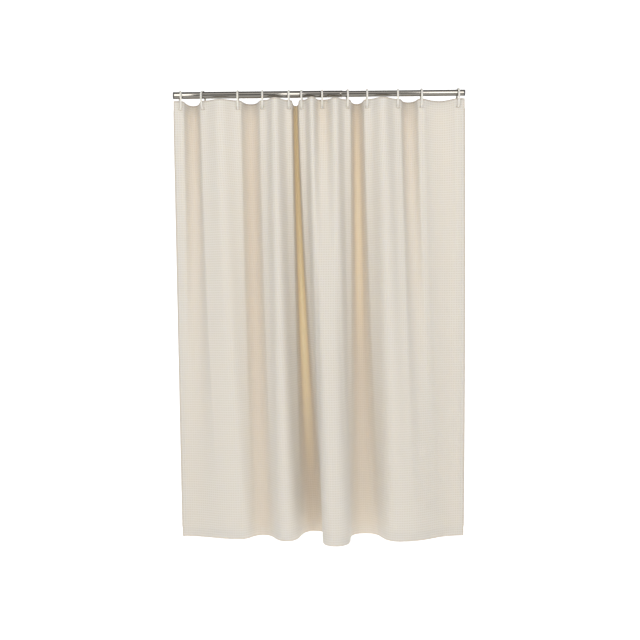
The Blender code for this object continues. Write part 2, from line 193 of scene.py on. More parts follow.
# How the cloth's colour changes over it, with painted shade in the back folds and a painted golden glow in
# the deepest of them
WARP_PERIOD = 0.0011
WEFT_PERIOD = 0.0013
EDGE_TONE = (0.95, 0.88, 0.81)
EDGE_SHARE = 0.8
EDGE_REACH = 0.007
# Painted shade: the back folds' colour is darkened by how deep they hang in the fold, for the shade that
# falls in them.
SHADE_TONE = (0.985, 0.955, 0.92)
DEEP_SHADE_TONE = (0.90, 0.835, 0.76)
# Painted light: the deepest back folds are mixed towards a bright golden colour, for light passed through
# the cloth and bounced inside the fold.
PAINTED_FOLD_GLOW = (0.98, 0.83, 0.57)
FOLD_GLOW_SHARE = 0.85
WHITE = (1.0, 1.0, 1.0)

# Studio
BACKDROP_GLOW = 0.68
FLOOR_BELOW = 1.1
ROOM_STRENGTH = 0.29
KEY_WATTS = 25
FILL_WATTS = 22
TOP_WATTS = 31
SOFT_BOX_Y = -3.9
SOFT_BOX_ABOVE = 1.3
SOFT_BOX_AIM = 1.0
SOFT_BOX_SIZE = (0.42, 3.0)
OVERHEAD_PLACE = (-2.3, 1.6)
OVERHEAD_AIM = (0.0, -0.7)
OVERHEAD_SIZE = (3.6, 2.4)
LENS_MM = 50
SENSOR_MM = 36
CAMERA_DISTANCE = 3.705
CAMERA_BELOW_ROD = -0.859
CAMERA_PITCH = math.radians(1.2)
CAMERA_ROLL = math.radians(0.58)
CAMERA_SIDE = -0.0047


def ring_places():
    """Each ring's X along the rod, from the middle of its solid."""
    boxes = [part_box(f"ring_{i:02d}") for i in range(1, RING_COUNT + 1)]
    return [(low[0] + high[0]) / 2 for low, high in boxes]


# The draped cloth


def eyelet_angles():
    """The direction of the cloth, seen from above, where each ring passes through it."""
    sides = (0, *BAY_SIDE, 0)
    return [EYELET_LEAN * (after - before) / 2 for before, after in zip(sides, sides[1:])]


def along(x, y):
    """The running length of a polyline."""
    return np.concatenate([[0.0], np.cumsum(np.hypot(np.diff(x), np.diff(y)))])


def unit(vectors):
    """Vectors brought to a length of 1."""
    return vectors / np.linalg.norm(vectors, axis=-1, keepdims=True)


def bay_plan(start, end, start_angle, end_angle, side, depth):
    """The cloth between two flat stretches, seen from above: a smooth path plus a bulge to one side."""
    t = np.linspace(0, 1, TABLE_STEPS + 1)
    span = end[0] - start[0]
    pinch = PINCH * (1 - span / (PITCH - 2 * EYELET_FLAT))
    spread = VALLEY_SPREAD if side > 0 else 0.0
    bulge = pinch * np.sin(4 * np.pi * t) / (4 * np.pi) - spread * np.sin(2 * np.pi * t) / (2 * np.pi)
    x = start[0] + span * (t + bulge)
    slope = span * (1 + pinch - spread)
    y = (
        start[1] * (1 + 2 * t) * (1 - t) ** 2
        + end[1] * t**2 * (3 - 2 * t)
        + slope * math.tan(start_angle) * t * (1 - t) ** 2
        - slope * math.tan(end_angle) * t**2 * (1 - t)
    )
    return x, y + side * depth * np.sin(np.pi * t) ** 2


def solve(low, high, length_at, wanted):
    """The value between low and high at which a length that grows with it is the wanted one."""
    for _ in range(40):
        middle = (low + high) / 2
        if length_at(middle) < wanted:
            low = middle
        else:
            high = middle
    return (low + high) / 2


def top_plan(places):
    """The top edge seen from above, as tables of flat position, x and y."""
    angles = eyelet_angles()
    cloth = PITCH - 2 * EYELET_FLAT
    u, x, y = [0.0], [places[0] - SIDE_INSET], [0.0]
    for i, (place, angle) in enumerate(zip(places, angles)):
        for sign in (-1, 1):
            u.append(RING_FLAT[i] + sign * EYELET_FLAT)
            x.append(place + sign * EYELET_FLAT * math.cos(angle))
            y.append(sign * EYELET_FLAT * math.sin(angle))
        if i == RING_COUNT - 1:
            break
        start = (x[-1], y[-1])
        after = angles[i + 1]
        end = (
            places[i + 1] - EYELET_FLAT * math.cos(after),
            -EYELET_FLAT * math.sin(after),
        )
        bay = (start, end, angle, after, BAY_SIDE[i])
        depth = solve(0.0, cloth, lambda d: along(*bay_plan(*bay, d))[-1], cloth)
        bay_x, bay_y = bay_plan(*bay, depth)
        length = along(bay_x, bay_y)
        u.extend(u[-1] + cloth * length[1:-1] / length[-1])
        x.extend(bay_x[1:-1])
        y.extend(bay_y[1:-1])
    u.append(CURTAIN_WIDTH)
    x.append(places[-1] + SIDE_INSET)
    y.append(0.0)
    return np.array(u), np.array(x), np.array(y)


def hem_plan(places):
    """The hem from above, as tables of flat position, x and y, and the flat position of each fold."""
    left = places[0] - SIDE_INSET
    width = places[-1] + SIDE_INSET - left
    t = np.linspace(0, 1, TABLE_STEPS + 1)[:-1]
    x, y = [], []
    for (x0, y0), (x1, y1), pinch in zip(HEM_FOLDS, HEM_FOLDS[1:], HEM_PINCH):
        x.extend(left + width * (x0 + (x1 - x0) * (t + pinch * np.sin(2 * np.pi * t) / (2 * np.pi))))
        y.extend(y0 + (y1 - y0) * (1 - np.cos(np.pi * t)) / 2)
    x.append(left + width * HEM_FOLDS[-1][0])
    y.append(HEM_FOLDS[-1][1])
    length = along(x, y)
    u = length * CURTAIN_WIDTH / length[-1]
    return u, np.array(x), np.array(y), u[::TABLE_STEPS]


class Drape:
    """Where each point of the flat cloth hangs. u runs across the cloth and v down it."""

    def __init__(self, places):
        self.label, self.top_x, self.top_y = top_plan(places)
        u, x, y, folds = hem_plan(places)
        tops = [SIDE_INSET + bays * PITCH for bays in FOLD_ORIGIN]
        self.hem_u = np.interp(self.label, [0.0, *tops, CURTAIN_WIDTH], folds)
        self.hem_x = np.interp(self.hem_u, u, x)
        self.hem_y = np.interp(self.hem_u, u, y)
        self.top_z = SEAT_Z + RIM_CLEARANCE + HEADER_MARGIN
        bays = (self.label - SIDE_INSET) / PITCH
        index = np.clip(bays.astype(int), 0, RING_COUNT - 2)
        inside = (bays > 0) & (bays < RING_COUNT - 1)
        droop = np.array(BAY_DROOP)[index] * np.sin(np.pi * bays) ** 2
        self.droop = np.where(inside, droop, 0.0)
        self.lean = 0.0
        self.lean = self.imbalance()

    def imbalance(self):
        """How steeply the cloth leans back below its header to hang with its weight under the rod."""
        columns, rows = 200, 12
        even = np.linspace(0.0, CURTAIN_WIDTH, columns)
        levels = (np.arange(rows) + 0.5) * CURTAIN_HEIGHT / rows
        forward = np.mean([self.points(even, v)[:, 1] for v in levels])
        return forward / np.mean(np.maximum(levels - HEADER_DEPTH, 0.0))

    def row(self, v):
        """Tables of flat position, x, y and z along one level of the cloth."""
        below = max(0.0, v - HEADER_DEPTH)
        share = below / (CURTAIN_HEIGHT - HEADER_DEPTH)
        drift = share**FOLD_DRIFT
        relax = share * (1 + FRONT_RELEASE - FRONT_RELEASE * share)
        u = (1 - drift) * self.label + drift * self.hem_u
        x = (1 - drift) * self.top_x + drift * self.hem_x
        y = (1 - relax) * self.top_y + relax * self.hem_y
        if share > 0:
            depth = solve(*DEPTH_RANGE, lambda d: along(x, d * y)[-1], CURTAIN_WIDTH)
            y = depth * y
            even = along(x, y)
            u = even * CURTAIN_WIDTH / even[-1]
        z = self.top_z - v - self.droop * math.exp(-v / DROOP_REACH)
        return u, x, y - self.lean * below, z

    def points(self, us, v):
        """The places of several points of one level of the cloth."""
        u, x, y, z = self.row(v)
        return np.stack([np.interp(us, u, values) for values in (x, y, z)], axis=1)


class Sheet:
    """The draped cloth sampled on an even grid, read back smoothly at any flat place."""

    ROWS = 184
    COLUMNS = 733

    def __init__(self, drape):
        self.us = np.linspace(0, CURTAIN_WIDTH, self.COLUMNS)
        self.vs = np.linspace(0, CURTAIN_HEIGHT, self.ROWS)
        self.grid = np.array([drape.points(self.us, v) for v in self.vs])
        down, across = np.gradient(self.grid, axis=(0, 1))
        self.normal = unit(np.cross(down, across))

    def fold_depth(self, u, v):
        """How deep in a back fold each flat place hangs, from 0 to 1."""
        reach = round(FOLD_REACH / (self.us[1] - self.us[0]))
        padded = np.pad(self.grid[:, :, 1], ((0, 0), (reach, reach)), mode="reflect")
        total = np.cumsum(np.pad(padded, ((0, 0), (1, 0))), axis=1)
        mean = (total[:, 2 * reach + 1:] - total[:, :-2 * reach - 1]) / (2 * reach + 1)
        depth = np.clip((self.grid[:, :, 1] - mean) / FOLD_FULL, 0, 1)
        wall = round(FOLD_WALL / (self.us[1] - self.us[0]))

        def nearby(field):
            padded = np.pad(field, ((0, 0), (wall, wall)), mode="edge")
            return [padded[:, k:k + self.COLUMNS] for k in range(2 * wall + 1)]

        soft = np.mean(nearby(np.max(nearby(depth), axis=0)), axis=0)
        return self.read(soft[:, :, None], u, v)[..., 0]

    def read(self, field, u, v):
        """Bilinear reading of a field at arrays of flat places."""
        across = np.clip(u / CURTAIN_WIDTH, 0, 1) * (self.COLUMNS - 1)
        down = np.clip(v / CURTAIN_HEIGHT, 0, 1) * (self.ROWS - 1)
        i = np.minimum(down.astype(int), self.ROWS - 2)
        j = np.minimum(across.astype(int), self.COLUMNS - 2)
        a = (down - i)[..., None]
        b = (across - j)[..., None]
        return (
            (1 - a) * ((1 - b) * field[i, j] + b * field[i, j + 1])
            + a * ((1 - b) * field[i + 1, j] + b * field[i + 1, j + 1])
        )

    def place(self, u, v, out):
        """Points at flat places (u, v), lifted by out towards the room."""
        normal = unit(self.read(self.normal, u, v))
        return self.read(self.grid, u, v) + normal * np.asarray(out)[..., None]


# Mesh building


def linked(name, data):
    """A new object that holds this data, in the scene."""
    obj = bpy.data.objects.new(name, data)
    bpy.context.scene.collection.objects.link(obj)
    return obj


def from_bmesh(name, bm, finish):
    """A smooth-shaded object made from a bmesh."""
    mesh = bpy.data.meshes.new(name)
    bm.to_mesh(mesh)
    bm.free()
    mesh.shade_smooth()
    mesh.materials.append(finish)
    return linked(name, mesh)


def mesh_object(name, points, faces, finish, uv=None):
    """A smooth-shaded mesh from points and groups of faces, each group with one number of corners."""
    mesh = bpy.data.meshes.new(name)
    mesh.vertices.add(len(points))
    mesh.vertices.foreach_set("co", np.asarray(points, np.float32).ravel())
    faces = [np.asarray(group, np.int32) for group in faces if len(group)]
    sizes = np.concatenate([np.full(len(group), group.shape[1]) for group in faces])
    corners = np.concatenate([group.ravel() for group in faces])
    starts = np.concatenate([[0], np.cumsum(sizes)[:-1]]).astype(np.int32)
    mesh.loops.add(len(corners))
    mesh.loops.foreach_set("vertex_index", corners)
    mesh.polygons.add(len(sizes))
    mesh.polygons.foreach_set("loop_start", starts)
    mesh.update(calc_edges=True)
    mesh.validate()
    if uv is not None:
        layer = mesh.uv_layers.new(name="flat")
        layer.data.foreach_set("uv", np.asarray(uv, np.float32)[corners].ravel())
    mesh.shade_smooth()
    mesh.materials.append(finish)
    return linked(name, mesh)


def pairs(u, v):
    """Two grids of numbers as one list of pairs."""
    return np.stack([u.ravel(), v.ravel()], axis=1)


def slab(name, front, back, flat, present, finish, flipped=False):
    """A closed slab of cloth from two grids of points, with the cells that are present."""
    groups = slab_faces(present)
    if flipped:
        groups = [group[:, ::-1] for group in groups]
    points = np.concatenate([front.reshape(-1, 3), back.reshape(-1, 3)])
    return mesh_object(name, points, groups, finish, np.concatenate([flat, flat]))


def slab_faces(present):
    """Faces of a slab over a grid of cells: front layer first, then the back layer's vertices."""
    rows, columns = present.shape
    index = np.arange((rows + 1) * (columns + 1)).reshape(rows + 1, columns + 1)
    count = index.size
    r, c = np.nonzero(present)
    quads = np.stack([index[r, c], index[r + 1, c], index[r + 1, c + 1], index[r, c + 1]], axis=1)
    groups = [quads, quads[:, ::-1] + count]
    padded = np.pad(present, 1)
    for dr, dc, first, second in ((-1, 0, 0, 3), (0, 1, 3, 2), (1, 0, 2, 1), (0, -1, 1, 0)):
        edge = ~padded[r + 1 + dr, c + 1 + dc]
        a, b = quads[edge, first], quads[edge, second]
        groups.append(np.stack([a, b, b + count, a + count], axis=1))
    return groups


def waffle(u, v):
    """Height of the waffle's ridges, from 0 in a cell's middle to 1 on its border."""
    return 1 - (np.sin(np.pi * u / CELL) * np.sin(np.pi * v / CELL)) ** 2


def seams():
    """The straight seams as (runs across?, flat place of the line, start, end)."""
    inner_u = SIDE_HEM_WIDTH - SEAM_FROM_EDGE
    return [
        (True, HEADER_DEPTH - SEAM_FROM_EDGE, 0.0, CURTAIN_WIDTH),
        (True, CURTAIN_HEIGHT - BOTTOM_HEM_DEPTH + SEAM_FROM_EDGE, 0.0, CURTAIN_WIDTH),
        (False, inner_u, HEADER_DEPTH, CURTAIN_HEIGHT - BOTTOM_HEM_DEPTH),
        (False, CURTAIN_WIDTH - inner_u, HEADER_DEPTH, CURTAIN_HEIGHT - BOTTOM_HEM_DEPTH),
    ]


def seam_dip(u, v):
    """How far the stitches pull the cloth's faces in."""
    dip = np.zeros(np.broadcast(u, v).shape)
    for across, line, start, end in seams():
        off, run = (v - line, u) if across else (u - line, v)
        inside = (run >= start) & (run <= end)
        dip = np.maximum(dip, np.where(inside, np.exp(-((off / SEAM_REACH) ** 2)), 0.0))
    return dip * SEAM_DIP


def near_edge(u, v):
    """The share of the weave's relief that is left near the cloth's edges."""
    inside = np.minimum(np.minimum(u, CURTAIN_WIDTH - u), np.minimum(v, CURTAIN_HEIGHT - v))
    return np.clip(inside / (CELL / 2), EDGE_RELIEF, 1)


def open_holes(u, v, holes):
    """Which cells of a grid stay, with the points round each hole drawn onto its oval."""
    present = np.ones((u.shape[0] - 1, u.shape[1] - 1), bool)
    centre_u = (u[:-1, :-1] + u[1:, 1:]) / 2
    centre_v = (v[:-1, :-1] + v[1:, 1:]) / 2
    touching = np.zeros(u.shape, int)
    for hole_u, hole_v, half_u, half_v in holes:
        gone = np.hypot((centre_u - hole_u) / half_u, (centre_v - hole_v) / half_v) < HOLE_REACH
        present &= ~gone
        touching[:] = 0
        for dr in (0, 1):
            for dc in (0, 1):
                touching[dr:dr + gone.shape[0], dc:dc + gone.shape[1]] += gone
        rim = touching > 0
        du, dv = u[rim] - hole_u, v[rim] - hole_v
        size = np.maximum(np.hypot(du / half_u, dv / half_v), 1e-6)
        u[rim] = hole_u + du / size
        v[rim] = hole_v + dv / size
    return present


def cloth_slab(sheet, name, finish, holes):
    """The whole curtain as a closed slab of waffle cloth, with its weave raised on both faces."""
    steps = round(2 * CURTAIN_WIDTH / CELL)
    line = np.linspace(0, CURTAIN_WIDTH, steps + 1)
    u, v = np.meshgrid(line, line * CURTAIN_HEIGHT / CURTAIN_WIDTH)
    lift = WAFFLE_RELIEF * waffle(u, v) * near_edge(u, v)
    dip = seam_dip(u, v)
    present = open_holes(u, v, holes)
    front = sheet.place(u, v, CLOTH_THICKNESS / 2 + lift - dip)
    back = sheet.place(u, v, -CLOTH_THICKNESS / 2 - lift * BACK_RELIEF)
    obj = slab(name, front, back, pairs(u, v), present, finish)
    # The depth of each front point in a back fold is kept as the fold attribute, the mask for the
    # material's painted shade and painted golden glow.
    front_depth = sheet.fold_depth(u, v).ravel()
    depths = np.concatenate([front_depth, np.zeros_like(front_depth)])
    fold = obj.data.attributes.new("fold", "FLOAT", "POINT")
    fold.data.foreach_set("value", depths.astype(np.float32))
    drop_loose(obj)
    return obj


def drop_loose(obj):
    """Removes the points that no face uses."""
    bm = bmesh.new()
    bm.from_mesh(obj.data)
    bmesh.ops.delete(bm, geom=[v for v in bm.verts if not v.link_faces], context="VERTS")
    bm.to_mesh(obj.data)
    bm.free()


def turned_ply(sheet, name, finish, edge, depth):
    """The strip of cloth turned over to the back along one edge of the curtain, with its rounded fold."""
    across = edge in ("top", "bottom")
    length = CURTAIN_WIDTH if across else CURTAIN_HEIGHT
    last = 0.0 if edge in ("top", "left") else length
    inward = 1 if last == 0.0 else -1
    start, end = (0.0, CURTAIN_WIDTH) if across else (HEADER_DEPTH, CURTAIN_HEIGHT - BOTTOM_HEM_DEPTH)
    run = np.linspace(start, end, round(2 * (end - start) / CELL) + 1)
    if edge == "top":
        run = rim_clear_line(run)
    turn = np.linspace(0, np.pi, FOLD_STEPS + 1)
    away = np.linspace(0, depth, round(2 * depth / CELL) + 1)[1:]
    fold = np.concatenate([turn, np.full(len(away), np.pi)])
    inner = last + inward * np.concatenate([np.zeros(len(turn)), away])
    grid_run, grid_inner = np.meshgrid(run, inner)
    grid_fold = np.repeat(fold[:, None], len(run), axis=1)
    u, v = (grid_run, grid_inner) if across else (grid_inner, grid_run)
    base = sheet.place(u, v, 0.0)
    normal = sheet.read(sheet.normal, u, v)
    du, dv = (0, -inward) if across else (-inward, 0)
    step = 0.004
    nearby = sheet.place(u - du * step, v - dv * step, 0.0)
    outward = unit(base - nearby)
    sine, cosine = np.sin(grid_fold)[..., None], np.cos(grid_fold)[..., None]
    middle = base + FOLD_RADIUS * (outward * sine - normal * (1 - cosine))
    direction = outward * sine + normal * cosine
    lift = (PLY_RELIEF * waffle(u, v) * np.sin(grid_fold / 2) ** 2)[..., None]
    outer = middle + direction * (PLY_THICKNESS / 2 + lift - seam_dip(u, v)[..., None] * PLY_DIP)
    under = middle - direction * PLY_THICKNESS / 2
    bent = FOLD_RADIUS * grid_fold
    flat = pairs(u + du * bent, v + dv * bent)
    present = np.ones((len(fold) - 1, len(run) - 1), bool)
    if edge == "top":
        present = ply_openings(u, v, fold)
    obj = slab(name, outer, under, flat, present, finish, flipped=edge in ("top", "right"))
    drop_loose(obj)
    return obj


def rim_clear_line(run):
    """Puts two grid lines at the sides of each buttonhole's rim."""
    for centre in RING_FLAT:
        for side in (centre - RIM_HALF_WIDTH, centre + RIM_HALF_WIDTH):
            run[np.argmin(np.abs(run - side))] = side
    return run


def from_ring(u):
    """How far each flat place is from the nearest ring, across the cloth."""
    bays = (u - SIDE_INSET) / PITCH
    return np.abs(bays - np.round(bays)) * PITCH


def ply_openings(u, v, fold):
    """The cells of the header's turned ply that stay: all but those behind a buttonhole's rim."""
    centre_u = (u[:-1, :-1] + u[1:, 1:]) / 2
    centre_v = (v[:-1, :-1] + v[1:, 1:]) / 2
    flat_part = (fold[:-1] >= np.pi - 1e-6)[:, None]
    inside = (from_ring(centre_u) < RIM_HALF_WIDTH) & (np.abs(centre_v - HOLE_V) < HOLE_HALF_ROW)
    return ~(inside & flat_part)


# Sewing


def thread_template():
    """One stitch that dives into the cloth at both ends, as (share along it, side, out) points."""
    stations = ((0.0, 0.45), (0.14, 0.9), (0.5, 1.0), (0.86, 0.9), (1.0, 0.45))
    rows = []
    for share, size in stations:
        rise = STITCH_RISE * (math.sin(math.pi * share) - 0.5)
        for k in range(STITCH_SIDES):
            angle = 2 * math.pi * k / STITCH_SIDES
            side = size * THREAD_RADIUS * math.cos(angle)
            rows.append((share - 0.5, side, rise + size * THREAD_RADIUS * math.sin(angle)))
    quads = []
    for i in range(len(stations) - 1):
        for k in range(STITCH_SIDES):
            j = (k + 1) % STITCH_SIDES
            a, b = i * STITCH_SIDES, (i + 1) * STITCH_SIDES
            quads.append((a + k, b + k, b + j, a + j))
    first = tuple(range(STITCH_SIDES))
    ends = [first, tuple(len(rows) - 1 - k for k in range(STITCH_SIDES))]
    return np.array(rows), np.array(quads), np.array(ends)


def stitch_row(sheet, name, finish, seam, front):
    """A row of stitches along one seam, on the front or the back of the cloth."""
    across, line, start, end = seam
    rows, quads, ends = thread_template()
    count = int((end - start) / STITCH_PITCH)
    middle = start + (end - start) * (np.arange(count) + (0.5 if front else 0.0)) / count
    middle = middle[(middle > start + STITCH_PITCH) & (middle < end - STITCH_PITCH)]
    if line < HEADER_DEPTH and across:
        middle = middle[from_ring(middle) > RIM_HALF_WIDTH]
    along_line = middle[:, None] + rows[None, :, 0] * STITCH_LENGTH
    beside = line + rows[None, :, 1] + np.zeros_like(along_line)
    u, v = (along_line, beside) if across else (beside, along_line)
    seam_line = np.full_like(middle, line)
    seat_u, seat_v = (middle, seam_line) if across else (seam_line, middle)
    if front:
        seat = CLOTH_THICKNESS / 2 + WAFFLE_RELIEF * mesh_waffle(seat_u, seat_v) - SEAM_DIP / 2
        out = seat[:, None] + rows[None, :, 2]
    else:
        seat = 2 * FOLD_RADIUS + PLY_THICKNESS / 2 + PLY_RELIEF * mesh_waffle(seat_u, seat_v)
        out = -(seat[:, None] - SEAM_DIP * PLY_DIP / 2 + rows[None, :, 2])
    points = sheet.place(u, v, out).reshape(-1, 3)
    offsets = (np.arange(len(middle)) * len(rows))[:, None, None]
    groups = [(quads[None] + offsets).reshape(-1, 4), (ends[None] + offsets).reshape(-1, STITCH_SIDES)]
    if front == across:
        groups = [group[:, ::-1] for group in groups]
    return mesh_object(name, points, groups, finish, pairs(u, v))


def mesh_waffle(u, v):
    """The waffle's height as the cloth's grid of points has it, between its ridges and its pits."""
    def climb(value):
        share = np.mod(value / CELL, 1)
        return 1 - np.abs(2 * share - 1)
    return 1 - climb(u) * climb(v)


def circle(count):
    """Even angles once round, without the first one again."""
    return np.linspace(0, 2 * np.pi, count + 1)[:-1]


def rounded_corners(half_x, half_y, radius, steps):
    """The four corners of a rounded rectangle, each a list of (x, y, out_x, out_y)."""
    corners = []
    for corner, (sx, sy) in enumerate(((1, 1), (-1, 1), (-1, -1), (1, -1))):
        points = []
        for step in range(steps + 1):
            angle = math.pi / 2 * (corner + step / steps)
            out_x, out_y = math.cos(angle), math.sin(angle)
            x = sx * (half_x - radius) + radius * out_x
            points.append((x, sy * (half_y - radius) + radius * out_y, out_x, out_y))
        corners.append(points)
    return corners


def evened(path, count):
    """A closed path of (x, y, out_x, out_y) read at even steps, and each step's share of the way."""
    rows = np.array([*path, path[0]])
    length = along(rows[:, 0], rows[:, 1])
    even = np.linspace(0, length[-1], count + 1)[:-1]
    found = np.stack([np.interp(even, length, rows[:, k]) for k in range(4)], axis=1)
    found[:, 2:] = unit(found[:, 2:])
    return found, even / length[-1]


def rim_path(count):
    """Points round the middle of a buttonhole's rim in the XZ plane, and the directions out of it."""
    grow = RIM_WIDTH / 2
    half_w, half_h = BUTTONHOLE_WIDTH / 2 + grow, BUTTONHOLE_HEIGHT / 2 + grow
    radius = RIM_CORNER + grow * RIM_CORNER_GROWTH
    corners = rounded_corners(half_w, half_h, radius, RIM_CORNER_STEPS)
    return evened(sum(corners, []), count)[0]


def torus_quads(rows, sides):
    """The quads of a grid of points that closes on itself both ways."""
    index = np.arange(rows * sides).reshape(rows, sides)
    after = np.roll(index, -1, axis=0)
    quads = [index, np.roll(index, -1, axis=1), np.roll(after, -1, axis=1), after]
    return np.stack(quads, axis=2).reshape(-1, 4)


def stitched_rim(name, finish, place, angle, centre_z):
    """A buttonhole's rim: a core wrapped all round in close satin stitches."""
    turn = circle(WIRE_SIDES)
    sides = circle(SATIN_SIDES)
    half_w, half_t = RIM_WIDTH / 2 - SATIN_RADIUS, RIM_THICKNESS / 2 - SATIN_RADIUS
    core = rim_path(RIM_STEPS)[:, None]
    across = half_w * np.cos(turn)
    x, z = (core[..., k] + across * core[..., k + 2] for k in (0, 1))
    y = np.broadcast_to(half_t * np.sin(turn), x.shape)
    clouds = [np.stack([x, y, z], axis=2).reshape(-1, 3)]
    groups = [torus_quads(len(core), len(turn))]
    total = len(clouds[0])
    template = torus_quads(len(turn), len(sides))
    for i, (x, z, out_x, out_z) in enumerate(rim_path(SATIN_COUNT)):
        slant = SATIN_SLANT * (1 if i % 2 else SATIN_SHORTER_SLANT)
        inward = SATIN_WEB * max(abs(out_x), -out_z)
        loop = []
        for a in turn:
            for b in sides:
                grow = SATIN_RADIUS * math.cos(b)
                reach = (half_w + grow) * math.cos(a) + inward * min(math.cos(a), 0.0)
                slip = SATIN_RADIUS * math.sin(b) + slant * math.sin(a)
                loop.append((
                    x + reach * out_x - slip * out_z,
                    (half_t + grow) * math.sin(a),
                    z + reach * out_z + slip * out_x,
                ))
        clouds.append(np.array(loop))
        groups.append(template + total)
        total += len(loop)
    points = np.concatenate(clouds)
    points[:, 2] += centre_z
    return placed(name, points, groups, finish, place, angle)


def placed(name, points, groups, finish, place, angle):
    """A mesh made about the rod's axis, turned about Z and moved along the rod."""
    cosine, sine = math.cos(angle), math.sin(angle)
    x = points[:, 0] * cosine - points[:, 1] * sine + place
    y = points[:, 0] * sine + points[:, 1] * cosine
    return mesh_object(name, np.stack([x, y, points[:, 2]], axis=1), groups, finish)


# Rings and rod


def ring_path():
    """The ring's centre line as (y, z, out_y, out_z), and each place's share of the way round."""
    upper = RING_TOP_RADIUS + RING_BAND / 2
    lower = RING_BOTTOM_RADIUS + RING_BAND / 2
    upper_z = TUBE_RADIUS + RING_SEAT + RING_BAND / 2 - upper
    lower_z = SEAT_Z - RING_BAND / 2 + lower
    tilt = math.asin((upper - lower) / (upper_z - lower_z))
    angles = (-tilt, math.pi + tilt, 2 * math.pi - tilt)
    arcs = zip((upper_z, lower_z), (upper, lower), angles, angles[1:], RING_ARC_STEPS)
    rows = []
    for centre, radius, first, last, steps in arcs:
        for i in range(steps + 1):
            angle = first + (last - first) * i / steps
            out_y, out_z = math.cos(angle), math.sin(angle)
            rows.append((radius * out_y, centre + radius * out_z, out_y, out_z))
    return evened(rows, RING_STEPS)


def ring_section():
    """The moulded band's outline as (x, out): rounded corners and a shallow channel along its outside."""
    half_b = RING_BAND / 2
    first, *others = rounded_corners(RING_WIDTH / 2, half_b, BAND_ROUNDING, 3)
    wide, narrow = CHANNEL_HALF_WIDTHS
    floor = half_b - CHANNEL
    channel = [(wide, half_b), (narrow, floor), (-narrow, floor), (-wide, half_b)]
    return np.array([point[:2] for point in (*first, *channel, *sum(others, []))])


def add_ring(name, finish, place, turn):
    """One moulded hanger ring, swollen round the split at its back."""
    path, share = ring_path()
    section = ring_section()
    clasp = np.exp(-(((share - CLASP_AT) / CLASP_REACH) ** 4))
    slit = np.exp(-(((share - CLASP_AT) / SLIT_REACH) ** 2))
    wide = 1 + CLASP_SWELL * clasp - SLIT_NARROWING * slit
    thick = 1 - SLIT_THINNING * slit
    x = section[None, :, 0] * wide[:, None]
    out = section[None, :, 1] * thick[:, None]
    y = path[:, None, 0] + out * path[:, None, 2]
    z = path[:, None, 1] + out * path[:, None, 3]
    points = np.stack([x, y, z], axis=2).reshape(-1, 3)
    return placed(name, points, [torus_quads(len(path), len(section))], finish, place, turn)


def turned(name, profile, finish):
    """A solid turned about the X axis from (x, radius) points: closed, or open where it meets the axis."""
    bm = bmesh.new()
    loops = []
    angles = [2 * math.pi * k / TURNED_SIDES for k in range(TURNED_SIDES)]
    for x, radius in profile:
        if radius == 0:
            loops.append([bm.verts.new((x, 0, 0))] * TURNED_SIDES)
            continue
        loops.append([bm.verts.new((x, radius * math.cos(a), radius * math.sin(a))) for a in angles])
    closed = profile[0][1] > 0
    for i in range(len(loops) if closed else len(loops) - 1):
        here, after = loops[i], loops[(i + 1) % len(loops)]
        for k in range(TURNED_SIDES):
            beside = (k + 1) % TURNED_SIDES
            corners = [here[k], here[beside], after[beside], after[k]]
            bm.faces.new(list(dict.fromkeys(corners)))
    bmesh.ops.recalc_face_normals(bm, faces=bm.faces)
    obj = from_bmesh(name, bm, finish)
    obj.data.set_sharp_from_angle(angle=SHARP_ANGLE)
    return obj


# Materials


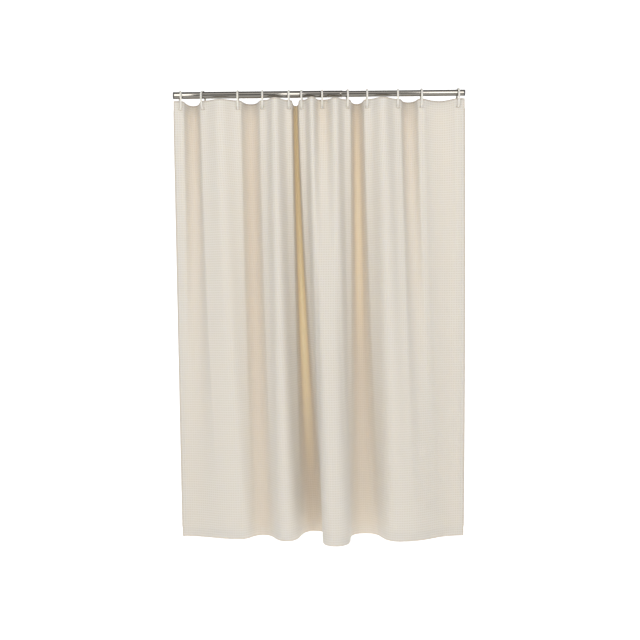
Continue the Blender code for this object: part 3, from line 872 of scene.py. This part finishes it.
class Nodes:
    """A small helper for a material's node tree."""

    def __init__(self, name):
        self.material = bpy.data.materials.new(name)
        self.material.use_nodes = True
        self.tree = self.material.node_tree
        self.shader = self.tree.nodes["Principled BSDF"]

    def put(self, socket, value):
        """Links a socket to another node's output, or sets its value."""
        if hasattr(value, "is_linked"):
            self.tree.links.new(value, socket)
        elif socket.type == "RGBA":
            socket.default_value = (*value, 1.0)
        else:
            socket.default_value = value

    def surface(self, **values):
        """The material, with its shader's sockets set by name."""
        for name, value in values.items():
            self.put(self.shader.inputs[name.replace("_", " ")], value)
        return self.material

    def add(self, kind, vector=None, **settings):
        """A node with its options, sockets and vector set."""
        node = self.tree.nodes.new(kind)
        for key, value in settings.items():
            if hasattr(node, key):
                setattr(node, key, value)
            else:
                node.inputs[key].default_value = value
        if vector is not None:
            self.put(node.inputs["Vector"], vector)
        return node

    def place(self):
        """The object's own coordinates, in metres."""
        return self.add("ShaderNodeTexCoord").outputs["Object"]

    def flat(self):
        """The flat cloth's coordinates as a vector, and its two parts."""
        flat = self.add("ShaderNodeUVMap", uv_map="flat").outputs["UV"]
        return flat, *self.add("ShaderNodeSeparateXYZ", flat).outputs[:2]

    def maths(self, operation, *values):
        node = self.add("ShaderNodeMath", operation=operation)
        for socket, value in zip(node.inputs, values):
            self.put(socket, value)
        return node.outputs[0]

    def times(self, value, factor):
        return self.maths("MULTIPLY", value, factor)

    def edge_nearness(self):
        """1 at the sheet's own edges, falling to 0 a little way in."""
        _, *parts = self.flat()
        gaps = []
        for value, size in zip(parts, (CURTAIN_WIDTH, CURTAIN_HEIGHT)):
            gaps.append(self.maths("MINIMUM", value, self.maths("SUBTRACT", size, value)))
        nearest = self.maths("MINIMUM", *gaps)
        return self.maths("SUBTRACT", 1.0, self.maths("DIVIDE", nearest, EDGE_REACH))

    def ramp(self, source, *stops):
        """A colour that follows a number through (place, colour) stops."""
        node = self.tree.nodes.new("ShaderNodeValToRGB")
        elements = node.color_ramp.elements
        for _ in range(len(stops) - 2):
            elements.new(0.5)
        for element, (place, colour) in zip(elements, stops):
            element.position = place
            element.color = (*colour, 1.0)
        self.put(node.inputs[0], source)
        return node.outputs[0]

    def noise(self, vector, scale, detail):
        return self.add("ShaderNodeTexNoise", vector, Scale=scale, Detail=detail).outputs["Fac"]

    def bump(self, height, distance, strength, normal=None):
        """A normal raised by a height, over another normal if there is one."""
        node = self.add("ShaderNodeBump", Strength=strength, Distance=distance)
        self.put(node.inputs["Height"], height)
        if normal is not None:
            self.put(node.inputs["Normal"], normal)
        return node.outputs[0]

    def mix(self, factor, first, second, blend="MIX"):
        node = self.add("ShaderNodeMix", data_type="RGBA", blend_type=blend)
        for index, value in ((0, factor), (6, first), (7, second)):
            self.put(node.inputs[index], value)
        return node.outputs[2]


def waffle_material(name, light, warm, deep):
    """Cotton waffle: cells 10 mm wide, fine threads, slow changes of tone, painted shade in the cells'
    pits, and painted shade with a painted golden glow in the back folds.
    """
    n = Nodes(name)
    flat, u, v = n.flat()

    def wave(value, period):
        return n.maths("ABSOLUTE", n.maths("SINE", n.times(value, math.pi / period)))

    both = n.times(wave(u, CELL), wave(v, CELL))
    pit = n.times(both, both)
    row = n.maths("POWER", wave(v, CELL), 2.0)
    warp = n.times(wave(u, WARP_PERIOD), 0.5)
    weft = n.times(wave(v, WEFT_PERIOD), 0.5)
    thread = n.maths("ADD", warp, weft)
    tone = n.noise(flat, scale=5.0, detail=3.0)
    fuzz = n.noise(flat, scale=900.0, detail=2.0)
    body = n.ramp(tone, (0.35, light), (0.65, warm))
    # Painted shade: the waffle's pits, and the hollows between its weft ridges, are mixed towards the
    # darker deep colour for the shade that falls in them.
    hollow = n.maths("ADD", n.times(pit, 0.8), n.times(row, 0.2))
    pits = n.mix(hollow, body, deep)
    speckle = n.mix(n.times(fuzz, 0.10), pits, tuple(0.8 * c for c in light))
    # Painted shade and light: by the depth in a back fold the colour is darkened towards warm shade, and
    # in the deepest folds mixed towards a bright golden glow.
    fold = n.add("ShaderNodeAttribute", attribute_name="fold").outputs["Fac"]
    # Painted light: the golden glow of the deepest back folds.
    fold_glow_mask = n.ramp(fold, (0.55, (0.0,) * 3), (0.64, (FOLD_GLOW_SHARE,) * 3))
    shade = n.ramp(fold, (0.05, WHITE), (0.42, SHADE_TONE), (0.58, DEEP_SHADE_TONE))
    fold_shade_and_glow = n.mix(fold_glow_mask, n.mix(1.0, speckle, shade, "MULTIPLY"), PAINTED_FOLD_GLOW)
    edge = n.times(n.edge_nearness(), EDGE_SHARE)
    threads = n.maths("ADD", thread, n.times(fuzz, 0.7))
    fine = n.bump(threads, distance=0.00025, strength=0.7)
    ridges = n.maths("SUBTRACT", 1.0, pit)
    return n.surface(
        Base_Color=n.mix(edge, fold_shade_and_glow, EDGE_TONE, "MULTIPLY"),
        Normal=n.bump(ridges, distance=0.0006, strength=0.5, normal=fine),
        Subsurface_Weight=0.22,
        Subsurface_Radius=(0.0034, 0.0030, 0.0020),
        Subsurface_Scale=1.0,
        Roughness=0.92,
        Sheen_Weight=0.25,
        Sheen_Roughness=0.5,
        Specular_IOR_Level=0.2,
    )


def thread_material(name, dark, light):
    """Sewing thread: a twisted strand, a little smoother than the cloth."""
    n = Nodes(name)
    place = n.place()
    waves = {"wave_type": "BANDS", "bands_direction": "DIAGONAL", "Scale": 900.0}
    twist = n.add("ShaderNodeTexWave", place, **waves).outputs["Fac"]
    tone = n.noise(place, scale=60.0, detail=2.0)
    return n.surface(
        Base_Color=n.ramp(tone, (0.3, dark), (0.7, light)),
        Normal=n.bump(twist, distance=0.0002, strength=0.6),
        Roughness=0.75,
        Sheen_Weight=0.3,
    )


def plastic_material(name, colour, roughness, grain):
    """Moulded plastic: faint flow marks, fine grain and small changes of gloss."""
    n = Nodes(name)
    place = n.place()
    flow = n.noise(place, scale=45.0, detail=3.0)
    fine = n.noise(place, scale=1400.0, detail=2.0)
    low = tuple(0.95 * c for c in colour)
    return n.surface(
        Base_Color=n.ramp(flow, (0.35, low), (0.7, colour)),
        Roughness=n.maths("ADD", n.times(flow, 0.16), roughness - 0.08),
        Normal=n.bump(fine, distance=grain, strength=0.4),
        Subsurface_Weight=0.12,
        Subsurface_Radius=(0.004, 0.003, 0.002),
        Subsurface_Scale=1.0,
    )


def steel_material(name, colour, roughness):
    """Polished tube steel: fine draw lines along the tube, and faint smudges."""
    n = Nodes(name)
    place = n.place()
    stretch = n.add("ShaderNodeMapping", place, Scale=(4.0, 900.0, 900.0))
    lines = n.noise(stretch.outputs[0], scale=1.0, detail=3.0)
    smudge = n.noise(place, scale=9.0, detail=4.0)
    low = tuple(0.9 * c for c in colour)
    haze = n.maths("ADD", n.times(smudge, 0.06), roughness - 0.03)
    return n.surface(
        Base_Color=n.ramp(smudge, (0.3, low), (0.7, colour)),
        Roughness=n.maths("ADD", haze, n.times(lines, 0.03)),
        Normal=n.bump(lines, distance=0.000008, strength=0.2),
        Metallic=1.0,
    )


def rubber_material(name, clean, dusty):
    """Dull rubber with dust on it and a fine grain."""
    n = Nodes(name)
    place = n.place()
    dust = n.noise(place, scale=120.0, detail=4.0)
    grain = n.noise(place, scale=2500.0, detail=2.0)
    return n.surface(
        Base_Color=n.ramp(dust, (0.35, clean), (0.75, dusty)),
        Normal=n.bump(grain, distance=0.00015, strength=0.5),
        Roughness=n.maths("ADD", n.times(dust, 0.2), 0.6),
    )


# Pieces


def hang(obj, slot, *nodes):
    """A piece of the cloth: it rides with the curtain."""
    if nodes:
        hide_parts(*nodes)
    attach(obj, "curtain")
    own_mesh(obj)
    return obj


def stand_in(obj, body, node):
    """A finer rigid piece in the place of a CAD node."""
    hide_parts(node)
    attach(obj, body)


def add_curtain(sheet, cloth, thread):
    """The cloth, its turned-under plies and their rows of stitches."""
    half_u, half_v = BUTTONHOLE_WIDTH / 2 + RIM_WIDTH / 2, BUTTONHOLE_HEIGHT / 2 + RIM_WIDTH / 2
    holes = [(u, HOLE_V, half_u, half_v) for u in RING_FLAT]
    curtain = hang(cloth_slab(sheet, "curtain_cloth", cloth, holes), "waffle_cloth", "curtain_panel")
    for name, node, edge, depth in (
        ("header_ply", "header_band", "top", HEADER_DEPTH),
        ("bottom_hem_ply", "bottom_hem", "bottom", BOTTOM_HEM_DEPTH),
        ("left_hem_ply", "left_side_hem", "left", SIDE_HEM_WIDTH),
        ("right_hem_ply", "right_side_hem", "right", SIDE_HEM_WIDTH),
    ):
        hang(turned_ply(sheet, name, cloth, edge, depth), "waffle_cloth", node)
    for label, seam in zip(("header", "bottom_hem", "left_hem", "right_hem"), seams()):
        for face, front in (("front", True), ("back", False)):
            row = stitch_row(sheet, f"{label}_stitches_{face}", thread, seam, front)
            hang(row, "cream_thread")


def add_hangers(places, plastic, thread):
    """Each ring, and the stitched rim of the buttonhole that hangs on it."""
    centre_z = SEAT_Z + RIM_CLEARANCE - BUTTONHOLE_HEIGHT / 2
    for i, (place, angle, turn) in enumerate(zip(places, eyelet_angles(), RING_TURN), 1):
        label = f"{i:02d}"
        ring = add_ring(f"hanger_ring_{label}", plastic, place, turn)
        stand_in(ring, f"ring_{label}", f"ring_{label}")
        rim = stitched_rim(f"stitched_rim_{label}", thread, place, angle, centre_z)
        stand_in(rim, f"ring_{label}", f"buttonhole_{label}")


def add_rod(steel, rubber):
    """The rod's two tubes and the cap on each end."""
    outer_low, outer_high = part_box("outer_tube")
    inner_low, inner_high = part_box("inner_tube")
    slim = INNER_RADIUS
    bore = TUBE_RADIUS - TUBE_WALL
    end = outer_high[0]
    groove = [(end - back, TUBE_RADIUS - depth)
              for back, depth in zip(GROOVE_BACK, (0, GROOVE_DEPTH, GROOVE_DEPTH, 0))]
    mouth = [(end - MOUTH_HOLLOW * math.cos(a), TUBE_RADIUS - MOUTH_HOLLOW * (1 - math.sin(a)))
             for a in np.linspace(math.pi / 2, 0, 6)]
    outer = [
        (outer_low[0], TUBE_RADIUS - EDGE_BREAK), (outer_low[0] + EDGE_BREAK, TUBE_RADIUS),
        *groove, (end - MOUTH_EDGE, TUBE_RADIUS), *mouth,
        (end, slim + LIP_GAP), (end - LIP_LENGTH, slim + LIP_GAP),
        (end - LIP_LENGTH - LIP_TAPER, bore), (outer_low[0], bore),
    ]
    stand_in(turned("rod_outer_tube", outer, steel), "rod", "outer_tube")
    tail = inner_high[0]
    inner = [
        (inner_low[0], slim - INNER_BREAK), (inner_low[0] + INNER_BREAK, slim),
        (tail - EDGE_BREAK, slim), (tail, slim - EDGE_BREAK),
        (tail, slim - TUBE_WALL), (inner_low[0], slim - TUBE_WALL),
    ]
    stand_in(turned("rod_inner_tube", inner, steel), "inner_rod", "inner_tube")
    for name, node, body, radius, inward in (
        ("rod_left_cap", "left_end_cap", "rod", TUBE_RADIUS, 1),
        ("rod_right_cap", "right_end_cap", "inner_rod", slim, -1),
    ):
        low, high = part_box(node)
        face = low[0] if inward > 0 else high[0]
        stand_in(turned(name, cap_profile(face, radius, inward), rubber), body, node)


def cap_profile(face, radius, inward):
    """A rubber end cap: a face with grip rings, a rounded rim and a spigot up the tube."""
    spigot = radius - TUBE_WALL - LIP_GAP
    step = face + inward * END_CAP_LENGTH
    tip = step + inward * SPIGOT_LENGTH
    hollow = face + inward * GRIP_DEPTH
    foot, top = GRIP_HALF_WIDTHS
    outline = [(hollow, 0)]
    for share in GRIP_RINGS:
        at = radius * share
        outline += [(hollow, at - foot), (face, at - top), (face, at + top), (hollow, at + foot)]
    outline += [(hollow, radius * CAP_RIM[0]), (face, radius * CAP_RIM[1]), (face, radius - CAP_ROUNDING)]
    for a in np.linspace(0.4, math.pi / 2, 4):
        x = face + inward * CAP_ROUNDING * (1 - math.cos(a))
        outline.append((x, radius - CAP_ROUNDING * (1 - math.sin(a))))
    outline += [(face + inward * back, radius - depth) for back, depth in CAP_GROOVE]
    outline += [(step, radius), (step, spigot), (tip - inward * SPIGOT_BREAK, spigot)]
    return [*outline, (tip, spigot - SPIGOT_BREAK), (tip, 0)]


def add_spring(finish):
    """The coil spring, closed at each end."""
    low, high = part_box("tension_spring")
    wire = SPRING_WIRE / 2
    share = np.linspace(0, 1, SPRING_TURNS * SPRING_STEPS + 1)
    angle = 2 * np.pi * SPRING_TURNS * share
    closing = share - SPRING_CLOSING * np.sin(4 * np.pi * share) / (4 * np.pi)
    x = low[0] + wire + (high[0] - low[0] - SPRING_WIRE) * closing
    middle = [(low[k] + high[k]) / 2 for k in (1, 2)]
    radius = (high[2] - low[2]) / 2 - wire
    turn = circle(WIRE_SIDES)
    out = radius + wire * np.cos(turn)[None, :]
    points = np.stack([
        x[:, None] + wire * np.sin(turn)[None, :],
        middle[0] + out * np.cos(angle)[:, None],
        middle[1] + out * np.sin(angle)[:, None],
    ], axis=2).reshape(-1, 3)
    index = np.arange(len(share) * WIRE_SIDES).reshape(-1, WIRE_SIDES)
    here, after = index[:-1], index[1:]
    quads = [here, after, np.roll(after, -1, axis=1), np.roll(here, -1, axis=1)]
    groups = [np.stack(quads, axis=2).reshape(-1, 4), index[:1], index[-1:, ::-1]]
    spring = mesh_object("push_spring", points, groups, finish)
    stand_in(spring, "lock", "tension_spring")
    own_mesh(spring)


# Studio


def add_stage(floor_z):
    """A pale floor that sweeps up into a pale wall well behind the curtain."""
    left, right, front, bend, radius, height, steps = -9.0, 10.0, -9.0, 6.0, 1.0, 9.0, 12
    profile = [(front, floor_z), (bend, floor_z)]
    for k in range(1, steps + 1):
        angle = math.pi / 2 * k / steps
        profile.append((bend + radius * math.sin(angle), floor_z + radius * (1 - math.cos(angle))))
    profile.append((bend + radius, floor_z + height))
    bm = bmesh.new()
    lines = [[bm.verts.new((x, y, z)) for x in (left, right)] for y, z in profile]
    for a, b in zip(lines, lines[1:]):
        bm.faces.new([a[0], a[1], b[1], b[0]])
    white = Nodes("studio_white").surface(
        Base_Color=(0.92, 0.92, 0.92),
        Roughness=0.9,
        Specular_IOR_Level=0.0,
        Emission_Color=WHITE,
        Emission_Strength=BACKDROP_GLOW,
    )
    from_bmesh("backdrop", bm, white)


def add_light(name, place, target, size, watts):
    """A white rectangular light at a place, turned to face its target."""
    data = bpy.data.lights.new(name, "AREA")
    data.shape = "RECTANGLE"
    data.size, data.size_y = size
    data.energy = watts
    obj = linked(name, data)
    obj.location = place
    obj.rotation_euler = (Vector(target) - Vector(place)).to_track_quat("-Z", "Y").to_euler()


def add_studio(middle):
    """A room seen white but dimmer as light, a soft box at each side and one overhead."""
    world = bpy.data.worlds.new("studio")
    bpy.context.scene.world = world
    world.use_nodes = True
    tree = world.node_tree
    room = tree.nodes["Background"]
    surround = tree.nodes.new("ShaderNodeBackground")
    for node, strength in ((room, ROOM_STRENGTH), (surround, 1.0)):
        node.inputs["Color"].default_value = (*WHITE, 1.0)
        node.inputs["Strength"].default_value = strength
    seen = tree.nodes.new("ShaderNodeLightPath").outputs["Is Camera Ray"]
    either = tree.nodes.new("ShaderNodeMixShader")
    for source, target in zip((seen, room.outputs[0], surround.outputs[0]), either.inputs):
        tree.links.new(source, target)
    tree.links.new(either.outputs[0], tree.nodes["World Output"].inputs["Surface"])
    x, _, z = middle
    for name, side, watts in (("soft_box_left", -1.10, KEY_WATTS), ("soft_box_right", 1.08, FILL_WATTS)):
        place = (x + side, SOFT_BOX_Y, z + SOFT_BOX_ABOVE)
        add_light(name, place, (x, 0.0, z + SOFT_BOX_AIM), SOFT_BOX_SIZE, watts)
    add_light("overhead", (x, *OVERHEAD_PLACE), (x, *OVERHEAD_AIM), OVERHEAD_SIZE, TOP_WATTS)


def add_camera(middle_x):
    """The camera, in front of the curtain and rolled a little."""
    data = bpy.data.cameras.new("camera")
    data.lens = LENS_MM
    data.sensor_width = SENSOR_MM
    obj = linked("camera", data)
    obj.location = (middle_x + CAMERA_SIDE, -CAMERA_DISTANCE, CAMERA_BELOW_ROD)
    obj.rotation_euler = (math.pi / 2 - CAMERA_PITCH, CAMERA_ROLL, 0)
    bpy.context.scene.camera = obj


# Sizes that the frame gives
tube_low, tube_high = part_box("outer_tube")
TUBE_RADIUS = (tube_high[2] - tube_low[2]) / 2
INNER_RADIUS = TUBE_RADIUS - TUBE_WALL - TUBE_CLEARANCE
places = ring_places()
SEAT_Z = TUBE_RADIUS + RING_SEAT + 2 * RING_BAND - RING_HEIGHT

# Materials
# The deep colour below is the painted shade of the waffle's pits.
cream = waffle_material(
    "waffle_cloth", light=(0.81, 0.77, 0.705), warm=(0.81, 0.765, 0.695), deep=(0.72, 0.665, 0.575)
)
ivory = plastic_material("ivory_plastic", colour=(0.83, 0.80, 0.73), roughness=0.35, grain=0.00003)
nylon = plastic_material("white_nylon", colour=(0.86, 0.85, 0.82), roughness=0.45, grain=0.00004)
steel = steel_material("polished_steel", colour=(0.24, 0.225, 0.20), roughness=0.07)
spring_steel = steel_material("spring_steel", colour=(0.45, 0.45, 0.46), roughness=0.32)
rubber = rubber_material("end_cap_rubber", clean=(0.055, 0.052, 0.050), dusty=(0.11, 0.105, 0.10))
seam_thread = thread_material("cream_thread", dark=(0.80, 0.735, 0.64), light=(0.88, 0.82, 0.73))
rim_thread = thread_material("rim_thread", dark=(0.58, 0.51, 0.41), light=(0.66, 0.59, 0.48))

# Pieces
add_curtain(Sheet(Drape(places)), cream, seam_thread)
add_hangers(places, ivory, rim_thread)
add_rod(steel, rubber)
add_spring(spring_steel)
for node in ("spring_plunger", "twist_lock_plug"):
    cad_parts[node].data.materials.clear()
    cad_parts[node].data.materials.append(nylon)

# Studio
bpy.context.scene.view_settings.view_transform = "Standard"
low, high = cad_box
middle = ((low[0] + high[0]) / 2, 0.0, (low[2] + high[2]) / 2)
add_stage(low[2] - FLOOR_BELOW)
add_studio(middle)
add_camera(middle[0])
